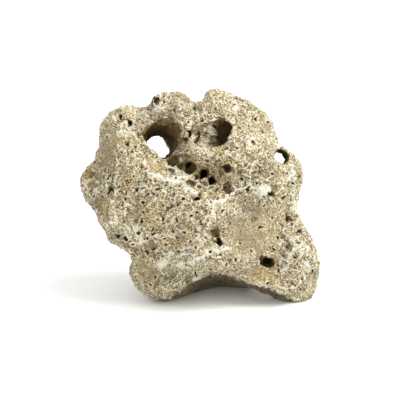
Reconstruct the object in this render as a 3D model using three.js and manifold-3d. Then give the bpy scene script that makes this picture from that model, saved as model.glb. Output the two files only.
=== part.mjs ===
// Holey limestone: one natural stone, pierced and pitted by water. It stands on two worn feet and on
// the worn edge of its back.
// Millimetres, +Z up, front towards -Y, origin on the ground under the middle of the stone.
//
// It is shaped as a carver would shape it. A ball is drawn out to the outline that the front shows,
// flattened into broad faces, pulled into feet and knobs, given its ledges, ridges and hollows, and
// then bored and pitted. All of that happens upright, with x to the right, y away from the viewer
// and z up from the middle of the stone. At the end it leans back and its feet are worn flat.

import * as THREE from "three";
import { ImprovedNoise } from "three/addons/math/ImprovedNoise.js";
import { mergeVertices } from "three/addons/utils/BufferGeometryUtils.js";
import Module from "manifold-3d";

const wasm = await Module();
wasm.setup();

// Driving dimensions
const frontBulge = 50; // from the outline's plane to the front
const backBulge = 54; // from the outline's plane to the back
const leanBack = THREE.MathUtils.degToRad(15);
const groundBelowMiddle = 87; // from the middle of the stone to the ground, once it leans
const fullness = 0.86; // 1 for a plain ball, less for a squarer one
const flatness = 0.8; // the same, for the front and the back
const evenOver = 24; // degrees either side, in evening out the outline's reach
const ballDetail = 15; // how finely the ball is divided
const finerFront = 0.22; // how far its points are drawn together towards the front
const ringSpacing = 9; // between the rings of faces along a bore
const crestReach = 3.4; // how near a point must be, to be drawn on to a crest's line
const crestDraw = 0.75; // how much of the way it is drawn
const crestTurn = 0.7; // how far round its end a crest goes from steep to gentle
const dabEdge = 1.5; // 1 for a soft-edged hollow or swelling, more for a firmer edge
const towardSides = [0.05, 0.6]; // off the outline's plane, where the evened-out reach takes over
const outlineFade = [2, 26]; // off the outline's plane, where faces and relief come in
const calmEdge = { share: 0.35, from: 4, to: 30 }; // lumps are lower beside the outline
const sway = { height: 11, size: 62 }; // how far the outline leaves its plane

// Pits left to chance, all round the stone: half widths from `least` to `least + spread`
const chance = { count: 12, spacing: 18, least: 1.9, spread: 2.4, squash: [0.7, 1.2], depth: 1.4, seed: 41 };

// Faces round a pit, by the half width from which it counts as large
const pitSides = { small: 6, chance: 7, large: 8, largeFrom: 3 };

// Lumps over the whole stone: [height, size]
const lumps = [[4.2, 34], [2.6, 17]];

// The outline from the front, clockwise from the notch in the top: [x, z]
const outline = [
  [1, 75.5], [5, 83], [8.5, 90.5], [13, 91.5], [24, 89], [34, 85.5], [45, 80], [54, 74], [61, 65],
  [65.5, 52], [69.5, 41], [77, 37], [85, 30.5], [88.5, 17], [86, 4], [83.5, -9], [86, -21],
  [93, -31], [98, -43], [101.5, -55], [101.5, -68], [98.5, -83], [89, -91], [77, -88],
  [63, -82], [50, -76], [34, -73], [22, -68], [7, -68], [-3, -73], [-13, -79],
  [-23, -86], [-37, -86.5], [-53, -78], [-60.5, -66], [-58, -50], [-67.5, -44],
  [-77, -39], [-81.5, -28], [-85.5, -23], [-87, -16], [-91, -8], [-99, 0], [-102, 12],
  [-97, 22], [-90, 29], [-86, 43], [-84, 60], [-76, 72], [-62, 77.5], [-51, 75],
  [-42, 75.5], [-38.5, 82.5], [-29, 86.5], [-14, 85.5], [-9, 81], [-5, 75.5],
];

// Broad faces: all that stands past `reach` along `toward` is pressed back to a share of itself
const faces = [
  { toward: [-0.8, -0.6, 0.06], reach: 74, keep: 0.12 }, // left flank
  { toward: [-0.28, -0.9, -0.34], reach: 50, keep: 0.2 }, // panel under the big hole
  { toward: [0.42, -0.72, 0.55], reach: 60, keep: 0.4 }, // upper right dome
  { toward: [0.88, -0.45, 0.1], reach: 72, keep: 0.3 }, // right flank
  { toward: [-0.45, -0.5, 0.74], reach: 74, keep: 0.3 }, // shoulder over the big hole
  { toward: [0.1, 0.97, 0.22], reach: 43, keep: 0.3 }, // back
  { toward: [-0.3, 0.93, -0.2], reach: 44, keep: 0.25 },
  { toward: [-0.7, 0.7, 0.16], reach: 62, keep: 0.2 },
  { toward: [0.76, 0.64, -0.1], reach: 66, keep: 0.2 },
  { toward: [0.5, 0.84, 0.3], reach: 56, keep: 0.3 },
  { toward: [0.25, 0.6, 0.76], reach: 62, keep: 0.25 }, // top
  { toward: [-0.35, 0.5, 0.79], reach: 64, keep: 0.25 },
  { toward: [0.62, 0.2, 0.76], reach: 74, keep: 0.3 },
  { toward: [-0.76, 0.3, -0.57], reach: 66, keep: 0.3 }, // underside
  { toward: [0.3, 0.5, -0.81], reach: 68, keep: 0.3 },
];

// Knobs and feet: what lies within `reach` of `at` is pulled along `by`
const pulls = [
  { at: [-16, 36, -60], reach: 32, by: [2, 22, -22] }, // back foot
  { at: [52, 34, -30], reach: 30, by: [4, 12, 2] },
  { at: [20, 8, -66], reach: 26, by: [0, 0, 9] }, // the arch between the feet, inside
  { at: [42, 44, -58], reach: 36, by: [0, 10, -26] }, // the back edge behind the arch
  { at: [-35, -14, -78], reach: 24, by: [0, -8, 0] }, // left foot
  { at: [86, 0, -80], reach: 27, by: [0, 9, -4] }, // right foot
  { at: [90, -18, -48], reach: 22, by: [1, -9, 0] },
  { at: [-92, -14, 10], reach: 20, by: [-1, -10, 0] }, // left knob
  { at: [-28, -18, 74], reach: 18, by: [0, -9, 0] }, // top knob
  { at: [-48, 44, 34], reach: 26, by: [-6, 12, 4] },
  { at: [34, 46, 6], reach: 24, by: [4, 12, 2] },
  { at: [4, 40, 62], reach: 22, by: [0, 9, 6] },
];

// Ledges and ridges: a crest along `path`, `steep` on its left and `gentle` on its right
const frontCrests = [
  { path: [[-46, 22], [-28, 16], [-14, 11], [-2, 1]], height: 11, steep: 7, gentle: 30 },
  { path: [[60, 6], [32, 5], [12, -8], [7, -24], [-2, -46]], height: 9, steep: 8, gentle: 15 },
  { path: [[-60, -50], [-42, -57], [0, -60], [36, -57]], height: 10, steep: 20, gentle: 6 },
  { path: [[82, 22], [82, -6], [80, -32], [76, -56]], height: 8, steep: 15, gentle: 8 },
  { path: [[-70, 70], [-69, 40], [-74, 8], [-72, -24], [-58, -48]], height: 8, steep: 14, gentle: 12 },
  { path: [[-16, 72], [-9, 54], [-7, 36], [0, 28]], height: 6, steep: 9, gentle: 7 },
];

const backCrests = [
  { path: [[70, 40], [44, 18], [20, 10], [2, -14], [-4, -44]], height: 9, steep: 8, gentle: 16 },
  { path: [[-84, 26], [-60, 8], [-34, 12], [-8, 44], [-2, 74]], height: 8, steep: 14, gentle: 7 },
  { path: [[-70, -30], [-40, -36], [-4, -46], [40, -40], [76, -52]], height: 8, steep: 7, gentle: 14 },
];

// Hollows, if `rise` is negative, and swellings: [x, z], half widths, turn in degrees
const frontDabs = [
  { at: [5, 16], half: [34, 15], turn: -18, rise: -13 }, // basin of the cells
  { at: [47, -36], half: [35, 30], turn: -20, rise: -13 }, // wide scoop
  { at: [56, -62], half: [22, 14], turn: -25, rise: -4 },
  { at: [9, 55], half: [13, 15], turn: 0, rise: -9 }, // slope into the deep hole
  { at: [-40, 50], half: [17, 20], turn: 30, rise: -6 }, // slope into the big hole
  { at: [-6, 80], half: [10, 10], turn: 0, rise: -10 }, // notch in the top
  { at: [48, 40], half: [26, 26], turn: 0, rise: 6 },
  { at: [-46, -24], half: [30, 24], turn: 20, rise: 4 },
  { at: [-38, -64], half: [24, 12], turn: 0, rise: -11 }, // under the lower ledge
  { at: [10, -66], half: [30, 9], turn: 0, rise: -12 },
  { at: [90, -60], half: [12, 18], turn: 10, rise: 6 },
  { at: [-88, 20], half: [8, 8], turn: 0, rise: -3 },
  { at: [60, 14], half: [14, 10], turn: 30, rise: -4 },
];
const backDabs = [
  { at: [34, 44], half: [26, 20], turn: 20, rise: -12 },
  { at: [-26, -12], half: [28, 16], turn: -15, rise: -12 },
  { at: [44, -14], half: [24, 18], turn: 30, rise: -9 },
  { at: [-62, -8], half: [14, 20], turn: 10, rise: -6 },
  { at: [-30, 60], half: [18, 12], turn: 0, rise: -6 },
  { at: [10, -62], half: [22, 12], turn: 0, rise: -9 },
];

// Bores: the line from outside the stone inwards, with radii along it. A `flat` presses the wall
// on the side `toward`, in the front view, back to a share of its radius.
const bores = [
  {
    name: "big hole",
    line: [[-25, -66, 50], [-29.5, -40, 47], [-34, 0, 43.5], [-37.4, 34, 38.8], [-41, 76, 33]],
    radii: [18.5, 16.4, 15, 10.4, 11.4, 13, 15],
    flat: { toward: [-0.64, -0.77], share: 0.76 },
    sides: 16,
  },
  {
    name: "deep hole",
    line: [[1, -66, 53], [10.5, -40, 51.5], [23, -18, 49], [36, 4, 43]],
    radii: [13.2, 12.8, 13, 12, 10],
    sides: 12,
  },
  {
    name: "side hole",
    line: [[69.5, -36, 33.5], [68.8, -14, 32.8], [67.2, 18, 31.4], [66, 46, 30.5]],
    radii: [8, 6.7, 6.3, 6.2, 8],
    sides: 9,
  },
  {
    name: "round hole",
    line: [[55, -48, -55], [57, -30, -56], [58, 2, -52]],
    radii: [5.4, 5, 4.6, 4],
    sides: 9,
  },
  { name: "back hole", line: [[35, 70, 59], [36, 44, 53], [36, 8, 44]], radii: [14, 11, 9.5, 9], sides: 11 },
  {
    name: "low back hole",
    line: [[-26, 72, -14], [-24, 44, -10], [-14, 16, -4]],
    radii: [12, 9, 8, 7],
    sides: 10,
  },
  { name: "left hole", line: [[-112, 12, -4], [-84, 12, 0], [-60, 6, 4]], radii: [9, 7, 6], sides: 9 },
  { name: "top hole", line: [[36, 14, 96], [32, 14, 66], [26, 12, 46]], radii: [10, 8, 7], sides: 9 },
];

// A bore's wall and its blind end, as shares of its radius
const wallSwing = 0.15;
const wallGrain = 12; // size of the wall's bumps
const blindEnd = [[0.6, 0.45], [0, 0.55]]; // [radius, how far on]

// Cells, finger holes and cracks: [x, z], half widths, turn in degrees, depth
const frontCells = [
  { at: [-22, 29], half: [6.5, 3.8], turn: 25, depth: 7 },
  { at: [-11, 31], half: [3.6, 2.4], turn: 10, depth: 4 },
  { at: [-8, 23.5], half: [4.6, 4.6], turn: 0, depth: 16 },
  { at: [3.5, 18], half: [4.4, 4.2], turn: 0, depth: 18 },
  { at: [10.5, 12], half: [3.4, 3.4], turn: 0, depth: 16 },
  { at: [23, 22.5], half: [4.4, 3.6], turn: -10, depth: 12 },
  { at: [-2.5, 15], half: [2, 2], turn: 0, depth: 7 },
  { at: [-7, 10], half: [4, 3.4], turn: -35, depth: 5 },
  { at: [23, 7], half: [4, 5.4], turn: 30, depth: 6 },
  { at: [0, 7], half: [2, 1.8], turn: 0, depth: 5 },
  { at: [-16, 24], half: [2.2, 1.8], turn: 0, depth: 5 },
  { at: [-23, 21], half: [3, 2.4], turn: 0, depth: 3 },
  { at: [-8, 51], half: [2.7, 2.9], turn: 0, depth: 12 },
  { at: [-36, 80], half: [2.7, 2.7], turn: 0, depth: 10 },
  { at: [-60, 62], half: [2.4, 2.4], turn: 0, depth: 7 },
  { at: [-2, -3], half: [2.4, 1.8], turn: 0, depth: 7 },
  { at: [13, -32], half: [2.6, 2.4], turn: 0, depth: 6 },
  { at: [16.5, -38], half: [1.5, 4], turn: 28, depth: 6 },
  { at: [-74, 4], half: [1.5, 4.4], turn: -16, depth: 8 },
  { at: [-78, 16], half: [1.3, 3], turn: -20, depth: 5 },
  { at: [59, 1], half: [2, 2], turn: 0, depth: 8 },
  { at: [-64, -42], half: [2.6, 2], turn: 20, depth: 6 },
  { at: [74, -20], half: [2.2, 1.6], turn: 0, depth: 6 },
];
const backCells = [
  { at: [-58, 20], half: [4.4, 3.6], turn: 20, depth: 12 },
  { at: [-66, 10], half: [3.2, 3.4], turn: 0, depth: 8 },
  { at: [-52, 6], half: [5, 3.4], turn: -25, depth: 6 },
  { at: [-6, 22], half: [4.2, 4.2], turn: 0, depth: 14 },
  { at: [-1, 34], half: [2.8, 2.6], turn: 0, depth: 8 },
  { at: [52, 4], half: [5, 4.4], turn: 15, depth: 12 },
  { at: [60, -8], half: [3.2, 3], turn: 0, depth: 9 },
  { at: [14, -36], half: [4.6, 4.6], turn: 0, depth: 12 },
  { at: [-40, -40], half: [3.4, 2.6], turn: -20, depth: 8 },
];

// One smooth, repeatable noise for everything, from -1 to 1
const noise = new ImprovedNoise();
const roughness = (p, size) => noise.noise(p.x / size + 7.3, p.y / size + 1.9, p.z / size + 4.1);

// A closed geometry as a solid, and a solid as a geometry
function solidOf(geometry) {
  const bare = geometry.index ? geometry.toNonIndexed() : geometry.clone();
  bare.deleteAttribute("normal");
  bare.deleteAttribute("uv");
  const merged = mergeVertices(bare, 1e-3);
  const corners = Array.from(merged.index.array);
  const kept = [];
  for (let i = 0; i < corners.length; i += 3) {
    const [a, b, c] = corners.slice(i, i + 3);
    if (a !== b && b !== c && a !== c) kept.push(a, b, c);
  }
  return new wasm.Manifold(
    new wasm.Mesh({
      numProp: 3,
      vertProperties: merged.attributes.position.array,
      triVerts: new Uint32Array(kept),
    }),
  );
}

function geometryOf(solid) {
  const mesh = solid.getMesh();
  const geometry = new THREE.BufferGeometry();
  geometry.setAttribute("position", new THREE.BufferAttribute(mesh.vertProperties, 3));
  geometry.setIndex(new THREE.BufferAttribute(mesh.triVerts, 1));
  geometry.computeVertexNormals();
  return geometry;
}

function moveVertices(geometry, move) {
  const places = geometry.attributes.position;
  const p = new THREE.Vector3();
  for (let i = 0; i < places.count; i++) {
    p.fromBufferAttribute(places, i);
    move(p);
    places.setXYZ(i, p.x, p.y, p.z);
  }
  return geometry;
}

// How far the outline is from the middle of the stone, degree by degree round the front view
const outlineCurve = new THREE.CatmullRomCurve3(
  outline.map(([x, z]) => new THREE.Vector3(x, 0, z)),
  true,
  "centripetal",
);
const fullTurn = 360;
const halfTurn = 180;
const degreeOf = (x, z) => (THREE.MathUtils.radToDeg(Math.atan2(z, x)) + fullTurn) % fullTurn;
const outlineReach = new Array(fullTurn).fill(0);
const pointsPerSpan = 30;
for (const p of outlineCurve.getPoints(outline.length * pointsPerSpan)) {
  const degree = Math.round(degreeOf(p.x, p.z)) % fullTurn;
  outlineReach[degree] = Math.max(outlineReach[degree], Math.hypot(p.x, p.z));
}

// The same reach with its knobs and notches evened out, for the front and the back of the stone
const evenReach = outlineReach.map((_, degree) => {
  let sum = 0;
  for (let i = -evenOver; i <= evenOver; i++) sum += outlineReach[(degree + i + fullTurn) % fullTurn];
  return sum / (2 * evenOver + 1);
});

function reachAt(list, degree) {
  const low = Math.floor(degree) % fullTurn;
  return THREE.MathUtils.lerp(list[low], list[(low + 1) % fullTurn], degree - Math.floor(degree));
}

// The ball drawn out to the outline, with a full front and back
function drawOut(p) {
  const degree = degreeOf(p.x, p.z);
  const facing = THREE.MathUtils.smoothstep(Math.abs(p.y), ...towardSides);
  const reach = THREE.MathUtils.lerp(reachAt(outlineReach, degree), reachAt(evenReach, degree), facing);
  const across = Math.hypot(p.x, p.z);
  const out = (reach * Math.pow(across, fullness)) / Math.max(across, 1e-6);
  const bulge = p.y < 0 ? frontBulge : backBulge;
  p.set(p.x * out, Math.sign(p.y) * bulge * Math.pow(Math.abs(p.y), flatness), p.z * out);
}

// The outline stays as drawn, so what shapes the front and the back fades out towards it
const awayFromOutline = (p) => THREE.MathUtils.smoothstep(Math.abs(p.y), ...outlineFade);

function pressFaces(p) {
  const share = awayFromOutline(p);
  for (const { toward, reach, keep } of faces) {
    const way = new THREE.Vector3(...toward).normalize();
    const past = p.dot(way) - reach;
    if (past > 0) p.addScaledVector(way, -past * (1 - keep) * share);
  }
}

function pullKnobs(p) {
  for (const { at, reach, by } of pulls) {
    const away = p.distanceTo(new THREE.Vector3(...at)) / reach;
    p.addScaledVector(new THREE.Vector3(...by), Math.exp(-away * away));
  }
}

// The place on a crest's line nearest to [x, z], how far off it is, and on which side
function nearestOn(path, x, z) {
  let nearest = { away: Infinity };
  for (let i = 1; i < path.length; i++) {
    const [ax, az] = path[i - 1];
    const [bx, bz] = path[i];
    const length = Math.hypot(bx - ax, bz - az);
    const [ux, uz] = [(bx - ax) / length, (bz - az) / length];
    const along = THREE.MathUtils.clamp((x - ax) * ux + (z - az) * uz, 0, length);
    const [dx, dz] = [x - ax - along * ux, z - az - along * uz];
    const away = Math.hypot(dx, dz);
    if (away < nearest.away) nearest = { away, dx, dz, side: (ux * dz - uz * dx) / Math.max(away, 1e-6) };
  }
  return nearest;
}

// Height of a crest at a place in the front view, with its width going round from steep to gentle
function crestHeight({ path, height, steep, gentle }, x, z) {
  const { away, side } = nearestOn(path, x, z);
  const width = THREE.MathUtils.lerp(gentle, steep, THREE.MathUtils.smoothstep(side, -crestTurn, crestTurn));
  return height * Math.exp(-((away / width) ** 2));
}

// Points beside a crest are drawn on to its line, so that it runs clean
function meetCrests(p, crests, share) {
  for (const { path } of crests) {
    const { away, dx, dz } = nearestOn(path, p.x, p.z);
    const draw = away < crestReach ? crestDraw * share : 0;
    p.x -= draw * dx;
    p.z -= draw * dz;
  }
}

function dabHeight({ at, half, turn, rise }, x, z) {
  const a = THREE.MathUtils.degToRad(turn);
  const dx = x - at[0];
  const dz = z - at[1];
  const u = (dx * Math.cos(a) + dz * Math.sin(a)) / half[0];
  const v = (dz * Math.cos(a) - dx * Math.sin(a)) / half[1];
  return rise * Math.exp(-((u * u + v * v) ** dabEdge));
}

function giveRelief(p) {
  const fade = awayFromOutline(p);
  const [crests, dabs] = p.y < 0 ? [frontCrests, frontDabs] : [backCrests, backDabs];
  meetCrests(p, crests, fade);
  const { x, y, z } = p;
  let rise = 0;
  for (const crest of crests) rise += crestHeight(crest, x, z);
  for (const dab of dabs) rise += dabHeight(dab, x, z);
  p.y += Math.sign(y) * rise * fade;
}

// The outline itself lies in no one plane
function swayOutline(p) {
  p.y += sway.height * roughness(new THREE.Vector3(p.x, 0, p.z), sway.size);
}

// Lumps all over, lower beside the outline
function roughen(p) {
  const out = p.clone().normalize();
  const away = THREE.MathUtils.smoothstep(Math.abs(p.y), calmEdge.from, calmEdge.to);
  const calm = THREE.MathUtils.lerp(calmEdge.share, 1, away);
  const rise = lumps.reduce((sum, [height, size]) => sum + height * roughness(p, size), 0);
  p.addScaledVector(out, calm * rise);
}

function stoneBody() {
  const ball = new THREE.IcosahedronGeometry(1, ballDetail);
  ball.deleteAttribute("normal");
  ball.deleteAttribute("uv");
  return moveVertices(mergeVertices(ball, 1e-5), (p) => {
    p.y -= finerFront * (1 - p.y * p.y);
    drawOut(p.normalize());
    pressFaces(p);
    pullKnobs(p);
    giveRelief(p);
    swayOutline(p);
    roughen(p);
  });
}

function pressWall(sideways, { toward, share }, radius) {
  const way = new THREE.Vector3(toward[0], 0, toward[1]);
  const past = sideways.dot(way) - share * radius;
  if (past > 0) sideways.addScaledVector(way, -past);
}

// A round bore of changing width along a line, with an uneven wall
function boreCutter({ line, radii, flat, sides }) {
  const path = new THREE.CatmullRomCurve3(line.map((p) => new THREE.Vector3(...p)));
  const length = path.getLength();
  const rings = Math.ceil(length / ringSpacing);
  const radiusAt = (t) => {
    const i = Math.min(Math.floor(t * (radii.length - 1)), radii.length - 2);
    return THREE.MathUtils.lerp(radii[i], radii[i + 1], t * (radii.length - 1) - i);
  };
  const profile = [new THREE.Vector2(0, 0)];
  for (let i = 0; i <= rings; i++) profile.push(new THREE.Vector2(radiusAt(i / rings), i / rings));
  for (const [wide, on] of blindEnd)
    profile.push(new THREE.Vector2(wide * radiusAt(1), 1 + (on * radiusAt(1)) / length));
  const up = new THREE.Vector3(0, 1, 0);
  return moveVertices(new THREE.LatheGeometry(profile, sides), (p) => {
    const along = Math.min(p.y, 1);
    const beyond = (p.y - along) * length;
    const way = path.getTangentAt(along);
    const sideways = new THREE.Vector3(p.x, 0, p.z);
    if (flat) pressWall(sideways, flat, radiusAt(along));
    sideways.applyQuaternion(new THREE.Quaternion().setFromUnitVectors(up, way));
    p.copy(path.getPointAt(along)).add(sideways).addScaledVector(way, beyond);
    p.addScaledVector(sideways, wallSwing * roughness(p, wallGrain));
  });
}

const body = stoneBody();
const bodyMesh = new THREE.Mesh(body, new THREE.MeshBasicMaterial({ side: THREE.DoubleSide }));
const probe = new THREE.Raycaster();
const farOff = 300; // well outside the stone

function surfaceFrom(start, way) {
  probe.set(start, way);
  return probe.intersectObject(bodyMesh)[0];
}

// A pit: a small ball pressed to its half widths and depth, then turned to look along `inwards`
function pitCutter(place, inwards, half, turn, depth, sides) {
  const pit = new THREE.SphereGeometry(1, sides, Math.ceil(sides / 2));
  pit.scale(half[0], depth, half[1]);
  pit.rotateY(-THREE.MathUtils.degToRad(turn));
  pit.applyQuaternion(new THREE.Quaternion().setFromUnitVectors(new THREE.Vector3(0, 1, 0), inwards));
  pit.translate(place.x, place.y, place.z).computeBoundingSphere();
  return pit;
}

// The cells of one side, cut in along `towards`: 1 from the front, -1 from the back
function cellCutters(cells, towards) {
  const inwards = new THREE.Vector3(0, towards, 0);
  return cells.map(({ at, half, turn, depth }) => {
    const { point } = surfaceFrom(new THREE.Vector3(at[0], -towards * farOff, at[1]), inwards);
    const sides = Math.max(...half) > pitSides.largeFrom ? pitSides.large : pitSides.small;
    return pitCutter(point, inwards, half, turn, depth, sides);
  });
}

// Chance pits all round, from a seeded draw, away from the pits already taken
function chancePits(taken) {
  const modulus = 2147483647;
  const multiplier = 16807;
  let seed = chance.seed;
  const draw = () => {
    seed = (seed * multiplier) % modulus;
    return seed / modulus;
  };
  const pits = [];
  const places = taken.map((cutter) => cutter.boundingSphere.center.clone());
  while (pits.length < chance.count) {
    const out = new THREE.Vector3(draw() - 0.5, draw() - 0.5, draw() - 0.5).normalize();
    const long = chance.least + chance.spread * draw() ** 2;
    const short = long * THREE.MathUtils.lerp(...chance.squash, draw());
    const hit = surfaceFrom(out.clone().multiplyScalar(farOff), out.clone().negate());
    if (places.some((p) => p.distanceTo(hit.point) < chance.spacing)) continue;
    places.push(hit.point);
    const inwards = hit.face.normal.clone().negate();
    const turn = halfTurn * draw();
    pits.push(pitCutter(hit.point, inwards, [long, short], turn, chance.depth * long, pitSides.chance));
  }
  return pits;
}

// The stone bored and pitted, leant back, its feet worn flat, and any loose crumb left out
function wornStone() {
  const cells = [...cellCutters(frontCells, 1), ...cellCutters(backCells, -1)];
  let stone = solidOf(body);
  for (const cutter of [...bores.map(boreCutter), ...cells, ...chancePits(cells)])
    stone = stone.subtract(solidOf(cutter));
  const leaning = geometryOf(stone).rotateX(-leanBack);
  const ground = new THREE.BoxGeometry(farOff, farOff, farOff);
  ground.translate(0, 0, -groundBelowMiddle - farOff / 2);
  const pieces = solidOf(leaning).subtract(solidOf(ground)).decompose();
  pieces.sort((a, b) => b.volume() - a.volume());
  return geometryOf(pieces[0]);
}

const geometry = wornStone();
geometry.computeBoundingBox();
const { min, max } = geometry.boundingBox;
geometry.translate(-(min.x + max.x) / 2, -(min.y + max.y) / 2, -min.z);

const limestone = new THREE.Mesh(
  geometry,
  new THREE.MeshStandardMaterial({ color: 0xb6a887, roughness: 0.95, metalness: 0, flatShading: true }),
);
limestone.name = "limestone";

const stoneGroup = new THREE.Group();
stoneGroup.add(limestone);

export default stoneGroup;
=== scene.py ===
# Holey limestone, an aquascape stone: the looks, made round its solid.
# Metres, +Z up, the front towards -Y, the ground at z = 0.

import math
from functools import partialmethod

import bmesh
import bpy
import numpy as np
from mathutils import Matrix, Vector
from mathutils.bvhtree import BVHTree


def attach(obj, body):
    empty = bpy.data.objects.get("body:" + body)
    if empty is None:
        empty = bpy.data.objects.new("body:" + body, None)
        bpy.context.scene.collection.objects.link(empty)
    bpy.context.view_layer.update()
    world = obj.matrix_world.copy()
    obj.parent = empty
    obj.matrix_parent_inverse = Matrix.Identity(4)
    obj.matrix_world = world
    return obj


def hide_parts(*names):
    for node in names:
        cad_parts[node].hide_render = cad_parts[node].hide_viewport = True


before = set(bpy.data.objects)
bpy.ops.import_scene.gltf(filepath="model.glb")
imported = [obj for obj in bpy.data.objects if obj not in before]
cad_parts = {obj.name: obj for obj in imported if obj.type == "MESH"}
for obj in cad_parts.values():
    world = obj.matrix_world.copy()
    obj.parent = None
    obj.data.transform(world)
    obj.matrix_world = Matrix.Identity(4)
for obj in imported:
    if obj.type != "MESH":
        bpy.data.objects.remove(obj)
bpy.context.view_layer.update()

mm = 0.001

# Where the photograph was taken from. The stone's middle is where its solid puts it.
photoView = {
    "frameSide": 400,  # pixels
    "perPixel": 0.85 * mm,
    "elevation": 15,  # degrees
    "lens": 135,
    "sensor": 36,
    "stoneMiddle": Vector((-0.0005, 0.0020, 0.087)),
    "middlePixel": (199.5, 195.5),
}
viewTurn = Matrix.Rotation(-math.radians(photoView["elevation"]), 3, "X")
forward = viewTurn @ Vector((0, 1, 0))
upward = viewTurn @ Vector((0, 0, 1))
rightward = Vector((1, 0, 0))


def newObject(name, data):
    made = bpy.data.objects.new(name, data)
    bpy.context.scene.collection.objects.link(made)
    return made


def makeCamera():
    data = bpy.data.cameras.new("photoCamera")
    data.lens = photoView["lens"]
    data.sensor_width = photoView["sensor"]
    camera = newObject("photoCamera", data)
    side, perPixel = photoView["frameSide"], photoView["perPixel"]
    px, py = photoView["middlePixel"]
    aim = photoView["stoneMiddle"] + perPixel * ((side / 2 - px) * rightward - (side / 2 - py) * upward)
    distance = side * perPixel / photoView["sensor"] * photoView["lens"]
    camera.location = aim - distance * forward
    camera.rotation_euler = forward.to_track_quat("-Z", "Y").to_euler()
    bpy.context.scene.camera = camera
    return camera


camera = makeCamera()
eye = camera.location.copy()
pixelSlope = photoView["sensor"] / photoView["lens"] / photoView["frameSide"]


# The pixel that each place shows at, and how far it is along the view
def pixelsOf(places):
    away = places - np.array(eye)
    depth = away @ np.array(forward)
    px = photoView["frameSide"] / 2 + away @ np.array(rightward) / depth / pixelSlope
    py = photoView["frameSide"] / 2 - away @ np.array(upward) / depth / pixelSlope
    return px, py, depth


def rayAt(px, py):
    half = photoView["frameSide"] / 2
    return (forward + (px - half) * pixelSlope * rightward - (py - half) * pixelSlope * upward).normalized()


# Skin: a fine, even mesh of the solid, to carve and weather
skinMake = {
    "voxel": 0.68 * mm,
    "smoothing": 10, "smoothFactor": 0.5,
    "finalTriangles": 194000,
    "frontShare": 0.7,  # how much the thinning spares what the photograph shows
    "shareForce": 0.00004,
    "shareSteps": 10,
    "weldBelow": 0.01 * mm,
}


def applied(thing):
    graph = bpy.context.evaluated_depsgraph_get()
    mesh = bpy.data.meshes.new_from_object(
        thing.evaluated_get(graph), preserve_all_data_layers=True, depsgraph=graph)
    old = thing.data
    thing.modifiers.clear()
    thing.data = mesh
    bpy.data.meshes.remove(old)


def makeSkin():
    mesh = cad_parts["limestone"].data.copy()
    mesh.materials.clear()
    bm = bmesh.new()
    bm.from_mesh(mesh)
    bmesh.ops.remove_doubles(bm, verts=bm.verts, dist=skinMake["weldBelow"])
    bm.to_mesh(mesh)
    bm.free()
    skin = newObject("weatheredStone", mesh)
    remesh = skin.modifiers.new("fineSkin", "REMESH")
    remesh.mode = "VOXEL"
    remesh.voxel_size = skinMake["voxel"]
    smooth = skin.modifiers.new("softenFacets", "SMOOTH")
    smooth.factor = skinMake["smoothFactor"]
    smooth.iterations = skinMake["smoothing"]
    applied(skin)
    print(f"skin: {len(skin.data.vertices)} points")
    return skin


skin = makeSkin()


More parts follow.
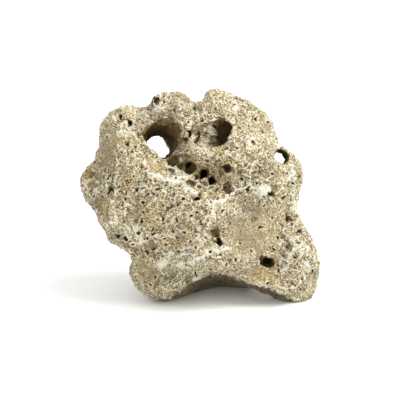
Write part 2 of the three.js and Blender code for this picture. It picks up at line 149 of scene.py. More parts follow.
# Front features, by the pixel of the photograph that shows them
frontFeatures = {
    "reach": 12 * mm,  # how far behind or before its first surface a feature still marks the stone
    "besideReach": 5,  # pixels beside a feature that are looked at too, to find the rim round a hole
    "waver": 0.75,  # pixels that edges and lines wander by
    "deepestPit": 3.4 * mm,
    "fullDent": 2.0 * mm,  # a hollow as deep as this gets the darkest painted shade
    "underDepth": 1.6 * mm,  # how far the stone is cut back under its lower edge
    "gullyDepth": 1.2 * mm,
    "ridgeWidth": 1.1,  # pixels
    "fillBehind": 9 * mm,  # how far behind its rim a wall is filled in fully
    "crustLines": [  # white ledges: strength, width in pixels, then the line
        (1.25, 3, [(149, 174), (156, 176), (163, 179), (171, 182), (176, 182)]),
        (1.2, 2.2, [(168, 179), (177, 178), (187, 177)]), (0.9, 2.4, [(166, 181), (174, 184), (180, 181)]),
        (1.25, 3.2, [(186, 189), (191, 191), (196, 194)]), (0.8, 2.6, [(180, 182), (185, 187)]),
        (1.15, 2.4, [(233, 193), (226, 199), (220, 202), (214, 203)]),
        (0.8, 2.4, [(214, 203), (213, 210), (214, 217)]), (0.7, 2.4, [(213, 217), (206, 228), (203, 238)]),
        (0.6, 3, [(236, 191), (250, 187), (262, 190)]), (0.8, 3, [(134, 228), (140, 236), (147, 243)]),
        (1.25, 2, [(189, 262.5), (196, 260), (205, 257)]), (0.9, 1.8, [(176, 272), (183, 268), (190, 266)]),
        (1.2, 2.4, [(205, 254), (212, 251), (219, 250), (230, 249)]),
        (1.1, 1.8, [(179, 249.5), (188, 247)]), (0.8, 2, [(176, 256), (186, 254), (196, 256)]),
        (1, 2, [(164, 255), (172, 252.6)]),
        (0.6, 2.6, [(118, 172), (114, 190), (112, 208), (118, 226), (130, 240)]),
        (0.9, 3, [(291, 166), (294, 180), (296, 196), (296, 212)]),
        (0.9, 3.2, [(293, 250), (289, 257), (286, 264), (283, 270)]),
        (0.9, 3, [(296, 248), (303, 243), (308, 247), (304, 254)]),
        (0.8, 2.6, [(294, 287), (299, 284), (302, 279), (306, 276)]),
        (0.55, 2.2, [(236, 278.5), (246, 282), (256, 284), (266, 286.5), (276, 290), (286, 295)]),
        (0.7, 2.2, [(205, 157), (210, 158), (214, 162), (218, 158), (225, 155), (234, 151)]),
        (0.5, 3, [(236, 144), (248, 137), (262, 132)]),
        (0.5, 3, [(120, 112), (128, 106), (140, 110), (150, 112)]),
    ],
    "crustPatches": [  # strength, then pixel, half width, half height and turn in degrees
        (1.9, 262.5, 191.5, 8, 6.6, -20), (1.2, 250, 142, 4, 4), (1.1, 262, 153, 3, 2), (1, 236, 106, 5, 6),
        (1.5, 156, 109, 7, 3.4, -10), (1.2, 125, 123, 6, 3, -40), (1.1, 114, 118, 3, 3),
        (0.9, 122, 132, 5, 2), (1.2, 137, 229, 5, 4), (1.3, 142, 240, 4, 4), (1.2, 125.5, 212, 3, 4),
        (0.9, 132, 195, 4, 3), (1.2, 198, 237, 4, 4), (1, 199, 229, 3, 3), (1.6, 162, 264, 7, 3.6, -25),
        (1.5, 179, 266, 5.4, 3, -50), (1.4, 197, 278, 5.4, 2.8, -30), (1.1, 168, 258, 3, 2.4),
        (1.1, 303, 251, 5, 5), (0.9, 292, 240, 6, 5), (1, 307, 266, 5, 7, 30), (0.9, 285, 268, 4, 4),
        (0.9, 301, 281, 3, 4), (0.9, 298, 272, 3, 2, 30), (0.7, 240, 214, 8, 4, -20),
        (0.7, 84, 184, 3, 8, 20), (0.8, 222, 201, 6, 4, -20), (0.7, 152, 267, 4, 3), (0.7, 258, 139, 7, 4),
        (0.6, 143, 190, 7, 5, 30), (0.8, 314, 258, 4, 8), (0.6, 310, 285, 5, 7, 20), (0.7, 117, 174, 3, 4),
    ],
    "ridges": [  # thin raised threads, paler than what lies between them
        [(143, 184), (147, 187), (150, 190)], [(121, 196), (123, 200), (126, 203), (129, 204)],
        [(147, 207), (151, 202), (156, 198)], [(149, 238), (154, 237), (159, 236), (163, 232), (166, 230)],
        [(160, 236), (166, 234), (172, 237), (176, 239)], [(175, 218), (180, 213), (186, 212), (188, 215)],
        [(181, 200), (184, 203), (189, 203), (193, 206), (193, 211), (188, 215), (190, 218), (195, 219)],
        [(199, 227), (203, 221), (207, 217), (209, 212)], [(131, 228), (136, 225), (141, 229)],
        [(167, 164), (168, 170), (169, 176)], [(144, 161), (146, 165), (149, 168)],
        [(200, 185), (207, 186), (214, 185)], [(203, 193), (210, 191), (217, 191)],
        [(226, 152), (231, 157), (236, 159), (240, 157)], [(284, 188), (279, 192), (275, 196)],
        [(264, 134), (267, 139), (270, 144)], [(272, 137), (276, 144), (279, 149)],
        [(284, 228), (284, 233), (287, 236)], [(276, 285), (283, 289), (293, 288)],
        [(298, 237), (303, 242)], [(303, 268), (308, 272), (314, 268)],
        [(117, 127), (123, 126), (128, 128), (131, 131)], [(133, 120), (133, 127), (136, 136), (140, 141)],
        [(129, 107), (133, 113), (135, 118)], [(117, 157), (118, 164)],
        [(176, 114), (182, 115), (188, 119)], [(204, 110), (209, 114), (216, 119)],
        [(176, 120), (180, 123), (186, 122)], [(157, 268), (163, 273), (168, 277)],
        [(196, 244), (200, 249), (204, 252)], [(143, 142), (149, 147), (156, 154), (163, 158)],
        [(160, 213), (166, 209), (170, 211)], [(122, 222), (127, 226), (131, 232)],
        [(176, 228), (181, 231), (187, 229)], [(245, 168), (250, 164), (256, 165)],
        [(262, 178), (268, 180), (272, 176)], [(240, 172), (245, 176), (251, 176)],
        [(282, 168), (288, 172), (290, 180)], [(256, 160), (251, 166), (253, 172)],
        [(230, 163), (235, 168), (234, 175)], [(112, 196), (117, 192), (119, 184)],
        [(103, 172), (108, 180), (106, 190)], [(93, 188), (99, 192), (106, 198)],
    ],
    "ochrePatches": [
        (267, 277, 15, 9), (286, 158, 5, 8), (134, 113, 9, 6), (160, 166, 10, 6, 35), (88, 174, 8, 6, -40),
        (224, 162, 17, 10, 20), (150, 212, 16, 14), (186, 178, 12, 8, 30), (104, 206, 7, 9),
        (212, 186, 16, 8, 10), (176, 245, 14, 8), (190, 225, 8, 14), (126, 130, 16, 18), (124, 186, 14, 16),
        (166, 179, 20, 8, 20), (206, 172, 18, 10, 25),
    ],
    "greyPatches": [
        (106, 140, 10, 36, 8), (100, 192, 12, 18), (244, 212, 22, 7, -15), (168, 190, 9, 7, 20),
        (140, 202, 9, 8), (258, 171, 8, 7), (178, 254, 12, 4, -10), (252, 208, 8, 5),
    ],
    "dimShadePatches": [  # darker stone and painted shade on faces turned from the light and round hole rims: strength, then the oval
        (0.6, 124, 238, 10, 7, 20), (0.7, 150, 246, 8, 6), (0.6, 106, 140, 9, 30, 6),
        (0.5, 96, 205, 10, 16), (0.7, 90, 178, 9, 10, -30), (0.6, 210, 184, 18, 9, 10),
        (0.5, 188, 114, 16, 7), (0.4, 206, 146, 8, 12), (0.4, 252, 236, 24, 20, -20),
        (0.75, 266, 172, 22, 16), (0.6, 215, 234, 4, 6, 20), (0.45, 126, 185, 18, 18),
        (0.45, 165, 170, 14, 7, 30), (0.6, 164, 115, 18, 5), (0.5, 139, 131, 4, 10),
        (0.6, 209, 174, 5, 6, 20), (0.5, 217, 182, 4, 5), (0.5, 197, 166, 4, 4), (0.5, 218, 170, 5, 6),
        (0.5, 178, 152, 7, 12), (0.4, 167, 179, 20, 8, 20), (0.35, 285, 220, 8, 24),
        (0.4, 226, 226, 9, 20, -10),
    ],
    "litPatches": [  # walls of holes where light falls in, kept free of painted shade: strength, then the oval
        (1, 208, 134, 8, 16), (0.35, 217, 132, 4, 9), (0.95, 286, 158, 5, 8), (0.25, 177, 140, 5, 11),
        (0.9, 160, 276, 16, 6), (0.9, 186, 134.5, 2.6, 4), (0.9, 196.4, 136.4, 3.6, 5),
    ],
    "litReach": 60 * mm,
    "lowerEdge": [  # the front's lower edge; the stone under it is cut back and painted dark as the arch's shade
        (172, 297), (180, 291), (188, 283.5), (196, 280), (203, 277.5), (215, 275.5), (226, 276.5),
        (234, 279), (244, 283), (254, 285), (264, 287.5), (274, 291), (284, 296), (292, 300),
    ],
    "dottyPatches": [  # peppered with fine dark dots
        (225, 110, 30, 18, 20), (250, 128, 22, 24, 30), (256, 165, 26, 20), (196, 140, 10, 20),
        (236, 250, 16, 14), (165, 288, 22, 10), (160, 100, 20, 8),
    ],
    "calmPatches": [  # smoother, with few pits
        (252, 230, 32, 26, -20), (91, 178, 9, 12), (106, 140, 10, 30, 6), (150, 272, 12, 10),
        (152, 165, 12, 7, 40), (194, 150, 10, 12), (262, 273, 14, 9), (152, 247, 5, 5),
    ],
    "coarsePatches": [  # blobby shallow cells with thin pale walls between them
        (160, 220, 38, 28), (128, 128, 16, 14), (172, 102, 22, 9), (250, 165, 24, 16), (180, 262, 30, 10),
        (304, 262, 12, 20), (124, 190, 14, 18),
    ],
    "hollows": [  # wide dents, darkened with painted shade by their depth: depth in mm, then the oval
        (2.4, 176, 92, 7, 4), (2.6, 146, 106, 6, 4), (1.8, 205, 95, 3, 5), (2.6, 93, 208, 5, 5, 40),
        (1.8, 107, 238, 4, 6, -30), (2.4, 132, 260, 3, 9), (1.4, 300, 178, 4, 14), (1.4, 297, 200, 3, 8),
        (1.5, 80, 188, 4, 8), (1.2, 207, 134, 7, 11), (1.4, 261, 171, 5, 6), (1.6, 275, 188, 6, 5),
        (1.3, 242, 153, 4, 6, 20), (1.3, 236, 148, 4, 5), (1.5, 172, 172, 4, 4), (1.3, 297, 256, 5, 7),
        (1.4, 293, 263, 4, 5), (1.5, 311, 274, 5, 3, -30), (1.2, 180, 157, 5, 3), (1.2, 122, 172, 5, 5),
        (1.2, 129, 181, 6, 4), (1.2, 145, 180, 5, 4), (1.1, 163, 182, 4, 3, 30), (1.2, 172, 241, 5, 4),
        (1.1, 205, 206, 5, 6), (1.1, 187, 207, 4, 5), (1.2, 300, 230, 4, 6), (1.3, 279, 172, 7, 3, 10),
        (1, 258, 106, 6, 3, 20), (1, 174, 109, 4, 5), (1.2, 187, 111, 4, 5), (1.8, 149, 257, 7, 4),
        (2, 92, 175, 6, 7, 20), (1.8, 255, 156, 6, 5), (1.6, 261, 170, 6, 5), (2, 289, 245, 4, 5),
        (1.6, 302, 262, 6, 9), (1.4, 264, 152, 5, 8), (1.6, 130, 132, 6, 5), (1.2, 127, 141, 5, 5),
        (1.4, 185, 97, 6, 5), (1.2, 170, 100, 5, 5), (1.5, 240, 178, 6, 5), (1.2, 276, 176, 6, 6),
        (1.3, 166, 210, 7, 5, 20), (1.4, 139, 212, 6, 6), (1.3, 156, 229, 6, 5), (1.3, 176, 226, 6, 6),
        (1.2, 184, 212, 6, 5), (1.2, 133, 250, 6, 4, 30), (1.4, 118, 236, 4, 6), (1.6, 216, 234, 5, 6),
        (1.2, 291, 214, 5, 7), (1.2, 278, 160, 7, 5), (1.4, 198, 107, 7, 5), (1.2, 214, 110, 7, 6),
        (1.2, 244, 120, 8, 6),
    ],
    "cells": [  # open cells with steep walls: depth in mm, brownness, then the oval
        (2.2, 0.5, 173.4, 162.2, 5, 3.3, -28), (1.6, 0.6, 184.8, 159.8, 2.4, 1.7),
        (3.4, 0.7, 190, 168.8, 4.4, 4.8, 20), (1.2, 0.6, 180.4, 167.2, 1.7, 1.1, -30),
        (1.2, 0.35, 172.6, 171.4, 3.2, 2.6), (3.4, 0.7, 203.2, 174.4, 3.2, 3.6),
        (3, 0.7, 211.8, 181.6, 2.5, 2.6), (1.8, 0.7, 197, 177.6, 1.6, 2.1),
        (1.5, 0.35, 191, 182.6, 4.6, 3.4, 20), (1.1, 0.35, 199.4, 187.6, 2.2, 2.2),
        (2.6, 0.7, 226.6, 169, 4.1, 3.5), (1.6, 0.5, 226.6, 187, 3.5, 4.2, -30),
        (1, 0.4, 213, 159, 2.3, 2.3), (1, 0.35, 219, 161, 1.8, 1.8), (3, 0.75, 264.4, 261, 4.4, 4.8),
        (1.5, 0.6, 151, 245.6, 6.6, 4.6, 10), (1.4, 0.5, 124.6, 238.6, 3, 2.4),
        (1.2, 0.4, 187, 207.4, 3, 3.4), (1.2, 0.4, 171.6, 205.6, 2.6, 2.8),
        (1.3, 0.45, 172.6, 195.4, 2.6, 2, 20), (1.2, 0.4, 167, 183.6, 2.4, 1.8),
        (1.2, 0.4, 180.8, 184.4, 1.8, 1.8), (1.2, 0.4, 142.6, 188.4, 2.4, 1.8),
        (1.3, 0.45, 156.8, 189.6, 2, 2), (1.3, 0.35, 213, 196.6, 5, 4.2), (1.2, 0.4, 88, 174, 5, 4.4, -30),
        (1.2, 0.35, 92, 186, 4.4, 4.4), (1.2, 0.4, 207.6, 165.6, 2.6, 1.4),
    ],
    "pits": [  # round and dark: pixel and radius in pixels
        (163.7, 97, 1.4), (163, 101, 1.3), (160, 94, 1.1), (120, 116, 2.2), (107.3, 136.2, 1.6),
        (127, 141.5, 2.6), (122, 152, 1.1), (115.6, 145, 1.3), (94, 196, 1.2), (101, 193, 1.2),
        (137.2, 190.5, 2.1), (153, 195, 1.5), (143.4, 202.4, 1.6), (133, 176, 1.3), (145.5, 168.7, 1.2),
        (141, 165.4, 1.2), (197.6, 146.2, 1.3), (195.6, 107, 1.8), (214, 125.6, 1.3), (253, 142, 1.6),
        (263.4, 152.6, 1.4), (260.5, 148.4, 1.3), (256.8, 118.2, 1.4), (268.4, 122.3, 1.3),
        (255.5, 110, 1.3), (236.5, 162, 1.3), (236.5, 147, 1.3), (260, 167, 1.5), (274.6, 174, 1.3),
        (278, 181, 1.7), (293.7, 183.7, 1.2), (288.7, 184.5, 1.3), (241.4, 180, 1.7), (256.8, 184, 1.3),
        (229.4, 195.3, 1.4), (123.5, 209.4, 1.5), (126.4, 214, 1.3), (123.5, 222.7, 1.6),
        (142.2, 212.3, 1.6), (141.3, 221.5, 1.7), (163, 205.7, 1.3), (163.7, 219.4, 1.2),
        (163.3, 223.2, 1.3), (163.3, 227.5, 1.2), (176.2, 221, 1.7), (172.4, 231.4, 1.2), (183.6, 199, 1.4),
        (197.3, 212.8, 1.5), (190.7, 216.5, 1.6), (152.5, 230, 1.4), (138.4, 233, 1.8), (144.7, 239.7, 1.3),
        (148, 238.5, 1.2), (125.2, 238.5, 2.4), (132.6, 244.3, 1.4), (154.2, 250.5, 1.6), (157, 253.8, 1.3),
        (187.4, 241.8, 1.8), (164.6, 238.5, 1.3), (146.7, 267.5, 1.4), (155.4, 276.2, 1.3),
        (190.3, 266.2, 1.5), (149.6, 284, 1.4), (195.6, 275.4, 1.3), (176.2, 288.6, 1.2), (191, 280, 1.3),
        (298.6, 220.6, 1.5), (295.7, 227.3, 1.6), (300.3, 229, 1.4), (298.6, 241.4, 1.3), (272.5, 218, 1.2),
        (279.2, 237.2, 1.3), (224, 211.5, 1.2), (231.5, 223.5, 1.3), (252, 251, 1.3), (236, 259.6, 1.9),
        (285, 263, 1.4), (296.6, 258, 2), (298.2, 265.4, 1.4), (278.7, 271.2, 1.5), (289.5, 274, 1.3),
        (314.4, 272, 1.3), (210, 251.3, 1.5), (206.6, 259, 1.9), (214, 258.8, 1.4), (220.7, 254.6, 1.3),
        (223.6, 261.7, 1.3), (226, 265.4, 1.2), (230.7, 243, 1.4), (213.4, 233, 1.5), (217, 236.6, 1.1),
        (268.4, 194, 2), (264.4, 197, 1.2), (190.4, 135, 2.8), (130, 124, 2.4), (157, 101.2, 3),
        (176, 178, 1.6), (207, 161.6, 1.4), (202.4, 174, 1.7), (211.6, 181.4, 1.4), (200.4, 186.2, 0.9),
        (198, 199, 1.4), (188.6, 165.6, 1.9), (204, 120, 1.2), (232, 128, 1.1), (243, 131, 1.2),
        (249, 124, 1.1), (238, 96, 1.1), (221, 103, 1.2), (228, 115, 1.1), (176, 90, 1.2), (183, 104, 1.3),
        (190, 122, 1.2), (173, 110, 1.3), (141, 128, 1.2), (136, 145, 1.2), (150, 180, 1.2),
        (159, 190, 1.3), (170, 196, 1.2), (131, 228, 1.2), (147, 255, 1.2), (201, 225, 1.3),
        (184, 233, 1.3), (178, 252, 1.3), (196, 247, 1.2), (207, 238, 1.2), (264, 206, 1.1),
        (282, 226, 1.2), (240, 243, 1.2), (305, 250, 1.2), (309, 257, 1.1), (303, 282, 1.2),
        (295, 285, 1.2), (268, 284, 1.1),
    ],
    "slits": [  # cracks and long pits: pixel, half width, half height, turn in degrees
        (112.7, 190.4, 1.5, 4.8, 14), (108, 176.3, 1.4, 3.6, 20), (103, 185, 1.3, 2.6, 10),
        (219, 241, 1.3, 4.2, -28), (127.4, 151.8, 0.9, 2.6), (285.4, 198, 1.3, 3.8, 10),
        (248, 190, 1.6, 4.4, 20), (260.5, 227.7, 3, 1, -20), (115.6, 238, 1.6, 3.4, -30),
        (291.2, 216, 2.2, 1.5, 20), (300, 230, 1.2, 2.4, -40), (215, 190, 3.4, 1.4, 10),
        (230, 191, 1.2, 1.8, -30), (147, 195, 1.2, 3, 40), (177.6, 163.6, 3.4, 1.1, -38),
        (178.6, 203.6, 0.9, 4.4, 32), (216, 188.8, 2.6, 1, -10), (173.4, 193.6, 0.9, 2.2, -30),
        (152.6, 234, 2, 1.2),
    ],
    "ringRims": [  # pale raised rims round the named holes: pixel and radius
        (190.4, 135, 4.2), (130, 124, 4.2), (157, 101.2, 4.6),
    ],
    "slopes": [  # depth in mm, below nought for a swelling, then the oval
        (2.6, 163, 121, 17, 5), (2, 185, 141, 4, 12), (1.6, 139, 131, 5, 9), (3.8, 200, 134, 7, 13),
        (-1.8, 100, 219, 3.4, 4), (-1.2, 112, 242, 3, 2.5), (-4, 197, 136.4, 2.8, 4.4),
        (-1.4, 121, 111, 5, 4), (-1.2, 162, 94, 4, 3), (-1.3, 134, 205, 16, 20), (-1.2, 172, 222, 20, 16),
        (1.4, 150, 252, 12, 5, 10), (-1.4, 160, 276, 14, 4),
    ],
    "fills": [  # walls that stand further in: height in mm, then the oval
        (9.5, 206.5, 135, 9, 16), (3.2, 185, 134.5, 3.2, 5), (4.5, 198, 136.5, 3.4, 5),
    ],
    "gullies": [  # thin crevices, carved and darkened with painted shade: strength, width in pixels, then the line
        (1, 1.8, [(126, 247), (136, 250), (146, 253), (155, 257)]),
        (0.8, 1.4, [(159, 258), (158, 266), (156, 276), (158, 284)]),
        (0.8, 1.3, [(213, 229), (215, 235), (219, 240), (222, 244)]),
        (0.6, 1.2, [(176, 238), (183, 238), (190, 240)]), (0.6, 1.3, [(150, 239), (158, 238), (164, 234)]),
        (0.7, 1.2, [(112, 185), (112, 194), (114, 200)]), (0.6, 1.2, [(118, 150), (119, 163), (115, 172)]),
        (0.6, 1.2, [(283, 236), (287, 243), (284, 251)]), (0.6, 1.2, [(229, 161), (233, 166), (232, 172)]),
        (0.5, 1.2, [(163, 262), (172, 260), (182, 258)]), (0.6, 1.2, [(141, 206), (138, 200), (140, 194)]),
    ],
}


# A vector from every point
def vectorsOf(points, name):
    values = np.empty(len(points) * 3, np.float32)
    points.foreach_get(name, values)
    return values.reshape(-1, 3)


# How strongly each point of the skin lies under a front feature, from 0 to 1
class FrontMarks:
    def __init__(self, mesh):
        self.count = len(mesh.vertices)
        self.px, self.py, self.depth = pixelsOf(vectorsOf(mesh.vertices, "co").astype(np.float64))
        px, py = self.px.copy(), self.py.copy()
        self.px += frontFeatures["waver"] * np.sin(0.93 * py + 1.7 * np.sin(0.41 * px))
        self.py += frontFeatures["waver"] * np.sin(0.87 * px + 1.9 * np.sin(0.37 * py))
        facing = vectorsOf(mesh.vertex_normals, "vector").astype(np.float64)
        self.towardsEye = -(facing @ np.array(forward))
        faces = [tuple(p.vertices) for p in mesh.polygons]
        self.tree = BVHTree.FromPolygons([v.co for v in mesh.vertices], faces)

    # The points within some pixels of a place, how near the surface round it each one is, and how
    # far behind it
    def around(self, px, py, reach, deep=frontFeatures["reach"]):
        side = min(reach / 2, frontFeatures["besideReach"])
        tries = [(0, 0), (side, 0), (-side, 0), (0, side), (0, -side)]
        hits = [self.tree.ray_cast(eye, rayAt(px + dx, py + dy))[0] for dx, dy in tries]
        depths = [(hit - eye).dot(forward) for hit in hits if hit is not None]
        if not depths:
            return np.empty(0, int), np.empty(0), np.empty(0)
        some = np.flatnonzero((np.abs(self.px - px) < reach) & (np.abs(self.py - py) < reach))
        behind = self.depth[some] - min(depths)
        near = np.clip(1.5 - np.abs(behind) / deep, 0, 1) * np.clip(0.4 + 3 * self.towardsEye[some], 0, 1)
        return some, near, behind

    # How far points are from the middle of an oval, where its edge is 1
    def oval(self, some, px, py, halfWide, halfHigh, turn=0):
        a = math.radians(turn)
        dx, dy = self.px[some] - px, self.py[some] - py
        u = (dx * math.cos(a) + dy * math.sin(a)) / halfWide
        v = (dy * math.cos(a) - dx * math.sin(a)) / halfHigh
        return np.sqrt(u * u + v * v)

    # Soft patches, the strongest one counting: a higher power gives a flatter top
    def patches(self, ovals, deep=frontFeatures["reach"], power=2):
        mark = np.zeros(self.count)
        for strength, *oval in ovals:
            some, near, _ = self.around(*oval[:2], 2.5 * max(oval[2:4]), deep)
            mark[some] = np.maximum(mark[some], strength * np.exp(-self.oval(some, *oval) ** power) * near)
        return mark

    # Broad slopes and swellings, one on top of another
    def slopes(self, ovals):
        depth = np.zeros(self.count)
        for deep, *oval in ovals:
            some, near, _ = self.around(*oval[:2], 2.5 * max(oval[2:4]))
            depth[some] += deep * mm * np.exp(-self.oval(some, *oval) ** 2) * near
        return depth

    # Walls behind the front that stand further into their hole
    def fills(self, ovals):
        rise = np.zeros(self.count)
        for high, *oval in ovals:
            some, near, behind = self.around(*oval[:2], 2.5 * max(oval[2:4]), frontFeatures["litReach"])
            inside = np.clip(behind / frontFeatures["fillBehind"] - 0.3, 0, 1)
            rise[some] += high * mm * np.exp(-self.oval(some, *oval) ** 2) * near * inside
        return rise

    def lines(self, lines):
        mark = np.zeros(self.count)
        for strength, width, line in lines:
            for (ax, ay), (bx, by) in zip(line, line[1:]):
                length = math.hypot(bx - ax, by - ay)
                some, near, _ = self.around((ax + bx) / 2, (ay + by) / 2, length / 2 + 2.5 * width)
                dx, dy = self.px[some] - ax, self.py[some] - ay
                along = np.clip((dx * (bx - ax) + dy * (by - ay)) / length ** 2, 0, 1)
                off = np.hypot(dx - along * (bx - ax), dy - along * (by - ay))
                mark[some] = np.maximum(mark[some], strength * np.exp(-(off / width) ** 2) * near)
        return mark

    # A part with a flat middle and a soft edge, from an oval
    def sunken(self, some, near, oval, edge, softness):
        part = np.clip((edge - self.oval(some, *oval)) / softness, 0, 1)
        return part * part * (3 - 2 * part) * (near > 0.3)

    # Round-bottomed pits with a fairly sharp edge
    def bowls(self, ovals):
        mark, depth = np.zeros(self.count), np.zeros(self.count)
        for oval in ovals:
            deep = min(1.5 * min(oval[2:4]) * photoView["perPixel"], frontFeatures["deepestPit"])
            some, near, _ = self.around(*oval[:2], 1.6 * max(oval[2:4]) + 1)
            part = self.sunken(some, near, oval, 1.3, 0.7)
            mark[some] = np.maximum(mark[some], part)
            depth[some] = np.maximum(depth[some], part * deep)
        return mark, depth

    # Cells with steep walls and a flat floor
    def cells(self, cells):
        mark, depth = np.zeros(self.count), np.zeros(self.count)
        for deep, brownness, *oval in cells:
            some, near, _ = self.around(*oval[:2], 1.5 * max(oval[2:4]) + 1)
            part = self.sunken(some, near, oval, 1.2, 0.45)
            mark[some] = np.maximum(mark[some], part * brownness)
            depth[some] = np.maximum(depth[some], part * deep * mm)
        return mark, depth

    # What lies under the front's lower edge
    def below(self, edge):
        x, y = zip(*edge)
        mark = np.clip((self.py - np.interp(self.px, x, y)) / 2.2, 0, 1)
        mark *= (self.px > x[0]) * (self.px < x[-1]) * np.clip((self.px - x[0]) / 26, 0.5, 1)
        return mark * np.clip(0.7 + 3 * self.towardsEye, 0, 1)

    # Rims: how close to the edge of an oval
    def rings(self, ovals):
        mark = np.zeros(self.count)
        for oval in ovals:
            some, near, _ = self.around(*oval[:2], 2 * max(oval[2:4]))
            off = (self.oval(some, *oval) - 1) * math.sqrt(oval[2] * oval[3])
            mark[some] = np.maximum(mark[some], np.exp(-off * off) * near)
        return mark


def markFeatures():
    marks = FrontMarks(skin.data)
    found = frontFeatures

    # patches that are all of full strength
    def even(name, power=2):
        return marks.patches([(1.0, *oval) for oval in found[name]], power=power)

    pitMark, pitDepth = marks.bowls([(px, py, r, r) for px, py, r in found["pits"]] + found["slits"])
    cellMark, cellDepth = marks.cells(found["cells"])
    rims = [(px, py, r, r) for px, py, r in found["ringRims"]]
    rims += [(px, py, 1.8 * r, 1.8 * r) for px, py, r in found["pits"][::2]]
    rims += [(px, py, 1.4 * a, 1.4 * b, *turn) for _, _, px, py, a, b, *turn in found["cells"]]
    hollowDepth = marks.patches([(depth * mm, *oval) for depth, *oval in found["hollows"]])
    # the stone under the front's lower edge: cut back, and painted dark as shade
    under = marks.below(found["lowerEdge"])
    gullies = marks.lines(found["gullies"])
    shape = marks.slopes(found["slopes"]) - marks.fills(found["fills"])
    carve = pitDepth + hollowDepth + cellDepth + shape + found["underDepth"] * under
    hints = {
        "dentShadeHint": np.clip(hollowDepth / found["fullDent"], 0, 0.8),
        "crustHint": np.maximum(marks.lines(found["crustLines"]), marks.patches(found["crustPatches"])),
        "ochreHint": even("ochrePatches"),
        "greyHint": even("greyPatches"),
        "calmHint": even("calmPatches", 4),
        "coarseHint": even("coarsePatches"),
        "dimShadeHint": marks.patches(found["dimShadePatches"]),
        "dotHint": even("dottyPatches"),
        "rimHint": marks.rings(rims),
        "ridgeHint": marks.lines([(1.0, found["ridgeWidth"], line) for line in found["ridges"]]),
        "pitHint": pitMark,
        "cellHint": cellMark,
        "litHint": marks.patches(found["litPatches"], found["litReach"]),
        "underShadeHint": under,
        "gullyShadeHint": gullies,
        "carve": carve + found["gullyDepth"] * gullies,
    }
    for name, values in hints.items():
        layer = skin.data.attributes.new(name, "FLOAT", "POINT")
        layer.data.foreach_set("value", values.astype(np.float32))
    print("front features marked")


markFeatures()


# Sockets of a group that aren't plain numbers
socketKinds = {"Geometry": "NodeSocketGeometry", "Place": "NodeSocketVector"}


# A node tree, for geometry and for shaders alike. A value may be a number or another node's output.
class Tree:
    def __init__(self, tree):
        self.tree = tree

    def put(self, value, socket):
        if isinstance(value, bpy.types.NodeSocket):
            self.tree.links.new(value, socket)
        else:
            socket.default_value = value

    def add(self, kind, inputs=None, **settings):
        node = self.tree.nodes.new(kind)
        for key, value in settings.items():
            setattr(node, key, value)
        for key, value in (inputs or {}).items():
            self.put(value, node.inputs[key])
        return node

    # One operation on the first two values, then on its result and the next value, and so on
    def calc(self, operation, total, *values):
        for value in values:
            total = self.add("ShaderNodeMath", {0: total, 1: value}, operation=operation).outputs[0]
        return total

    times = partialmethod(calc, "MULTIPLY")
    plus = partialmethod(calc, "ADD")
    minus = partialmethod(calc, "SUBTRACT")
    over = partialmethod(calc, "DIVIDE")
    most = partialmethod(calc, "MAXIMUM")

    def absolute(self, value):
        return self.add("ShaderNodeMath", {0: value}, operation="ABSOLUTE").outputs[0]

    def vector(self, operation, *values, scale=None):
        inputs = dict(enumerate(values))
        if scale is not None:
            inputs["Scale"] = scale
        node = self.add("ShaderNodeVectorMath", inputs, operation=operation)
        return node.outputs["Value" if operation == "DOT_PRODUCT" else "Vector"]

    def remap(self, value, low, high, toLow=0.0, toHigh=1.0, kind="SMOOTHSTEP"):
        limits = {0: value, 1: low, 2: high, 3: toLow, 4: toHigh}
        return self.add("ShaderNodeMapRange", limits, interpolation_type=kind).outputs[0]

    # A noise or cell texture whose parts are of one size
    def texture(self, kind, place, size, others=None, **settings):
        scale = 1 / size if isinstance(size, float) else self.over(1.0, size)
        inputs = {"Vector": place, "Scale": scale, **(others or {})}
        return self.add("ShaderNodeTex" + kind, inputs, **settings).outputs

    # Noise about nought, from about -1 to 1
    def noise(self, place, size, detail=2.0, roughness=0.5):
        made = self.texture("Noise", place, size, {"Detail": detail, "Roughness": roughness})
        return self.remap(made["Fac"], 0.2, 0.8, -1.0, 1.0, "LINEAR")

    # A place, moved about by soft noise
    def warped(self, place, size, reach):
        made = self.texture("Noise", place, size, {"Detail": 2.0, "Roughness": 0.5})
        away = self.vector("SUBTRACT", made["Color"], (0.5, 0.5, 0.5))
        return self.vector("ADD", place, self.vector("SCALE", away, scale=reach))

    # How far it is to the nearest edge between the cells of a scattered grid
    def edges(self, place, size):
        return self.texture("Voronoi", place, size, feature="DISTANCE_TO_EDGE")["Distance"]

    # Spots on a scattered grid: how many radii it is to the middle of one, and whether it is there
    def spots(self, place, size, share, least, most):
        cells = self.texture("Voronoi", place, size)
        family = "FunctionNode" if self.tree.type == "GEOMETRY" else "ShaderNode"
        chance = self.add(family + "SeparateColor", {0: cells["Color"]}).outputs
        radius = self.remap(chance[1], 0.0, 1.0, least, most, "LINEAR")
        return self.over(cells["Distance"], radius), self.calc("LESS_THAN", chance[0], share)

    def mix(self, share, low, high, blend="MIX"):
        node = self.add("ShaderNodeMix", {0: share, 6: low, 7: high}, data_type="RGBA", blend_type=blend)
        return node.outputs[2]


# A group, with what it is given and where its results go
def newGroup(name, kind, inputs, outputs):
    tree = bpy.data.node_groups.new(name, kind)
    for side, sockets in (("INPUT", inputs), ("OUTPUT", dict.fromkeys(outputs))):
        for label, value in sockets.items():
            socket = socketKinds.get(label, "NodeSocketFloat")
            made = tree.interface.new_socket(label, in_out=side, socket_type=socket)
            if value is not None:
                made.default_value = value
    given = tree.nodes.new("NodeGroupInput").outputs
    return Tree(tree), given, tree.nodes.new("NodeGroupOutput").inputs


